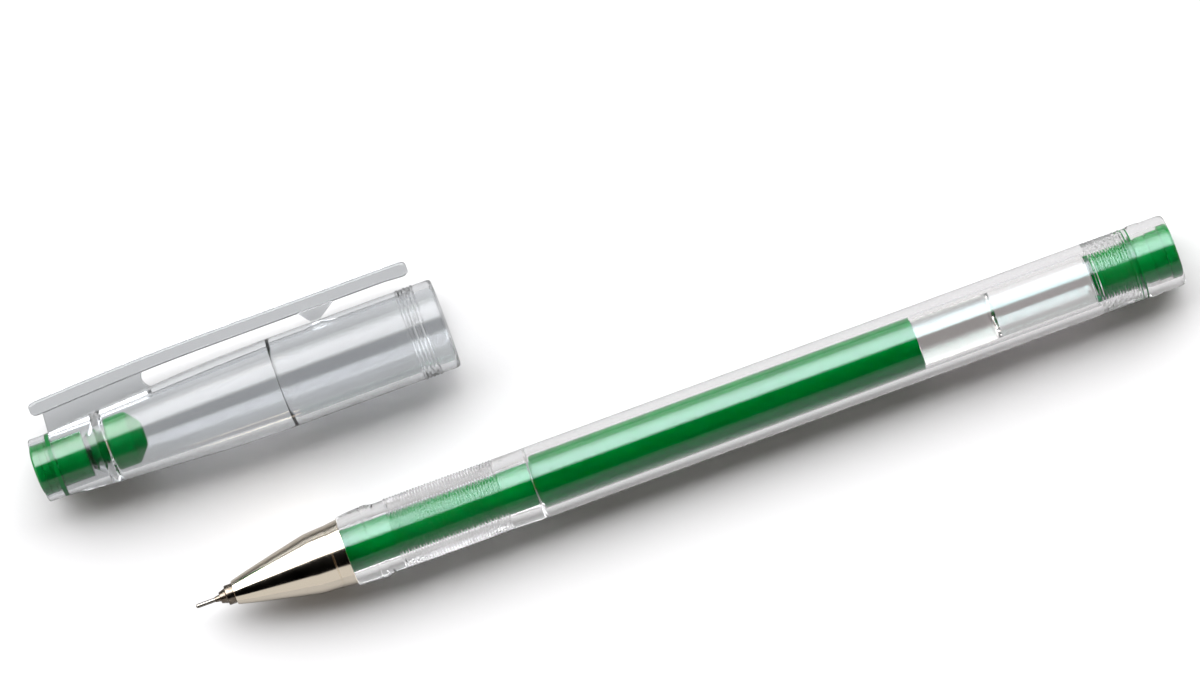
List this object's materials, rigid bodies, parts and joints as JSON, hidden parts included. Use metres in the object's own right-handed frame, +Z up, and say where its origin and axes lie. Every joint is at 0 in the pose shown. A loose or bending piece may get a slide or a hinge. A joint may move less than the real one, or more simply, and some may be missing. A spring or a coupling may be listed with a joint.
{
  "type": "gel pen",
  "caption": "Slim capped gel pen with a clear barrel, needle point, metal nose cone and coloured plugs, shown uncapped with its clear clip cap beside it.",
  "frame": {"origin": "centre of the bounding box's footprint, on the surface that the pen and its cap lie on", "axes": "+X along the pen from its point to its tail, and along the cap from its crown to its mouth; +Y from the pen towards the cap and its clip; +Z up"},
  "size_m": [0.1396, 0.0357, 0.0115],
  "materials": {
    "clear_barrel_plastic": "clear, moulded, glossy",
    "clear_cap_plastic": "clear, moulded, glossy",
    "clear_refill_plastic": "clear, extruded, slightly hazy",
    "green_ink": "opaque gel",
    "follower_grease": "clear, slightly cloudy",
    "bright_metal": "polished nickel plate",
    "turned_metal": "fine turned",
    "needle_steel": "drawn, satin",
    "ball_carbide": "lapped",
    "green_plastic": "moulded, glossy",
    "green_seal_plastic": "soft moulded, satin"
  },
  "bodies": {
    "barrel": {"barrel": "clear_barrel_plastic"},
    "nose_cone": {"nose_cone": "bright_metal"},
    "refill": {"refill_nose": "clear_refill_plastic", "refill_tube": "clear_refill_plastic", "gel_ink": "green_ink", "needle_collar": "turned_metal", "needle_pipe": "needle_steel", "writing_ball": "ball_carbide"},
    "follower": {"ink_follower": "follower_grease"},
    "tail_plug": {"tail_plug": "green_plastic"},
    "cap": {"cap_shell": "clear_cap_plastic", "crown_plug": "green_plastic", "needle_seal": "green_seal_plastic"},
    "clip": {"clip_arm": "clear_cap_plastic"}
  },
  "joints": [
    {"name": "cone_draw", "type": "slide", "parent": "barrel", "child": "nose_cone", "axis": [-1, 0, 0], "range_m": [0, 0.022]},
    {"name": "refill_draw", "type": "slide", "parent": "barrel", "child": "refill", "axis": [1, 0, 0], "range_m": [0, 0.13]},
    {"name": "ink_use", "type": "slide", "parent": "refill", "child": "follower", "axis": [-1, 0, 0], "range_m": [0, 0.043], "deforming": ["gel_ink"]},
    {"name": "plug_pull", "type": "slide", "parent": "refill", "child": "tail_plug", "axis": [1, 0, 0], "range_m": [0, 0.015]},
    {"name": "cap_slide", "type": "slide", "parent": "barrel", "child": "cap", "axis": [-1, 0, 0], "range_m": [0, 0.045]},
    {"name": "clip_flex", "type": "hinge", "parent": "cap", "child": "clip", "pos_m": [-0.0514, 0.01675, 0.00575], "axis": [0, 0, 1], "range_deg": [0, 4], "stiffness_Nm_per_rad": 0.44}
  ]
}
